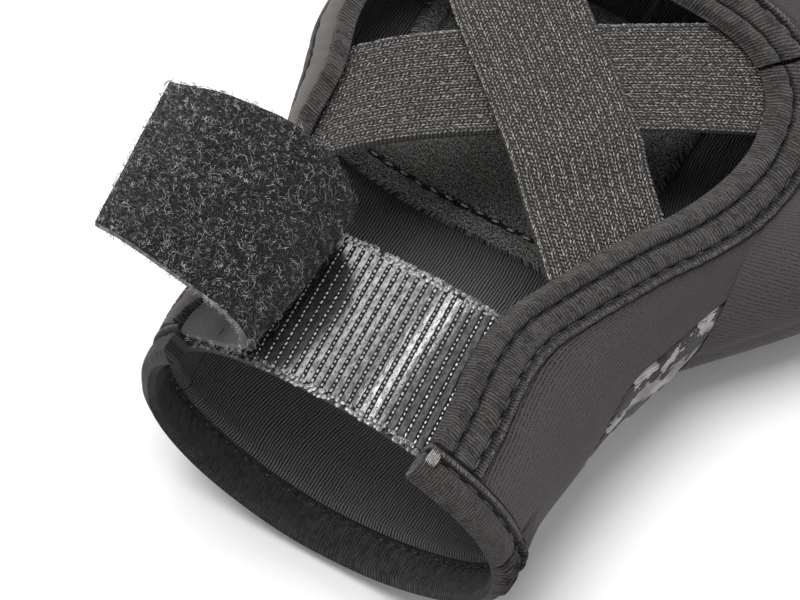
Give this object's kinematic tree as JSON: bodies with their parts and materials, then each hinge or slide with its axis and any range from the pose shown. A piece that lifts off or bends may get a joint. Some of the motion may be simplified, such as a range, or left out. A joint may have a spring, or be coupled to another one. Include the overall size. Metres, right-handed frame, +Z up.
{
  "type": "training glove",
  "caption": "Fingerless left-hand training glove lying palm down, with an open back crossed by elastic straps and a hook-and-loop wrist closure folded open.",
  "frame": {"origin": "on the floor under the middle of the palm, 65 mm from the wrist edge", "axes": "+X to the thumb side, +Y to the fingers, +Z up from the floor through the back of the hand"},
  "size_m": [0.1119, 0.1433, 0.0607],
  "materials": {
    "knit": "dark warm grey fine knit with narrow wales along the hand",
    "binding": "near-black rib-woven edge tape with stitch grooves",
    "elastic": "grey woven elastic with rows of small stitches along it",
    "hook_tape": "satin grey hook tape in narrow rows",
    "loop_pile": "black looped pile with paler curled fibres, grey smooth reverse",
    "fleece": "black short-pile fleece with a quilting line inside its edge",
    "printed_palm": "grey fabric with a blotchy print in pale and dark greys"
  },
  "bodies": {
    "root": {"palm_panel": "printed_palm", "thumb_side_panel": "knit", "thumb_side_binding": "binding", "knuckle_panel": "knit", "knuckle_binding": "binding", "little_side_panel": "knit", "little_side_binding": "binding", "wrist_hem": "binding", "hook_tape": "hook_tape", "loop_tab": "loop_pile", "elastic_strap_over": "elastic", "elastic_strap_under": "elastic", "palm_pad": "fleece", "index_sleeve": "knit", "index_hem": "binding", "middle_sleeve": "knit", "middle_hem": "binding", "ring_sleeve": "knit", "ring_hem": "binding", "little_sleeve": "knit", "little_hem": "binding", "thumb_sleeve": "knit", "thumb_hem": "binding"}
  },
  "joints": []
}
